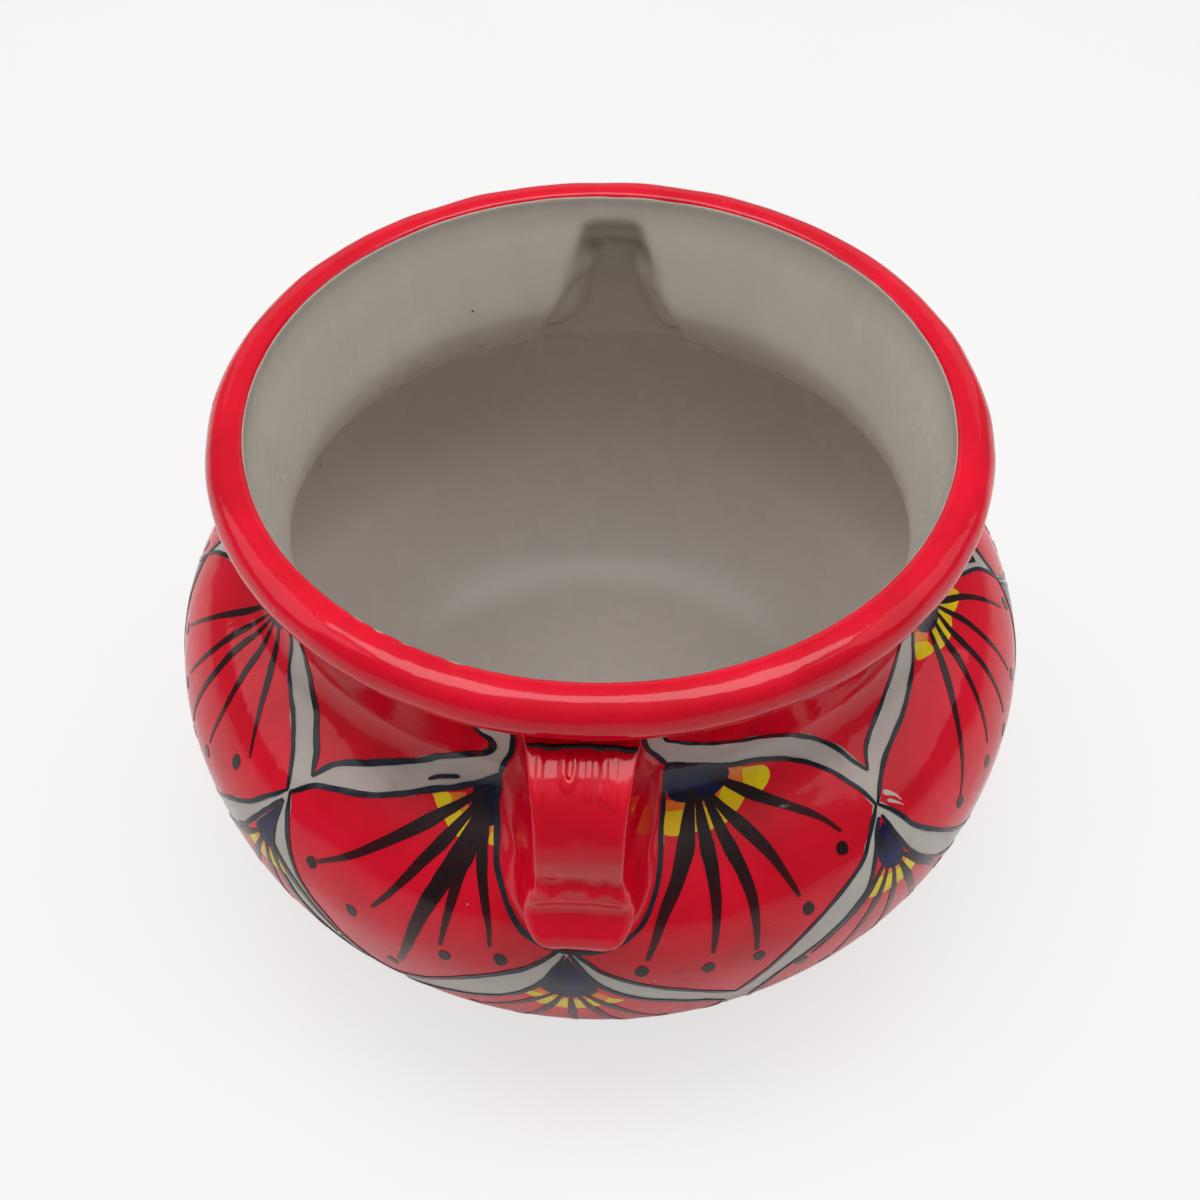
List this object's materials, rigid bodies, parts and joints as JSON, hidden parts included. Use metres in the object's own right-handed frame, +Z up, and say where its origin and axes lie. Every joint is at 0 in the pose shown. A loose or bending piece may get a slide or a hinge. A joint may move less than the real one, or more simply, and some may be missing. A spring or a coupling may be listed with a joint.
{
  "type": "glazed planter pot",
  "caption": "Round earthenware planter with a wide belly, flared collar, rolled rim, hollow lug handles and a drain hole, glazed and painted in a traditional fan pattern.",
  "frame": {"origin": "centre of the flat foot, on the ground", "axes": "+Z up along the pot's axis, -Y towards the front handle, +Y towards the rear handle"},
  "size_m": [0.306, 0.3092, 0.1982],
  "materials": {
    "painted_glaze": "gloss",
    "white_glaze": "gloss",
    "bare_clay": "matte"
  },
  "bodies": {
    "root": {"base_slab": "bare_clay", "lower_bowl": "painted_glaze", "shoulder_wall": "painted_glaze", "neck_collar": "painted_glaze", "rim_roll": "painted_glaze", "front_handle": "painted_glaze", "rear_handle": "painted_glaze", "glaze_lining": "white_glaze"}
  },
  "joints": []
}
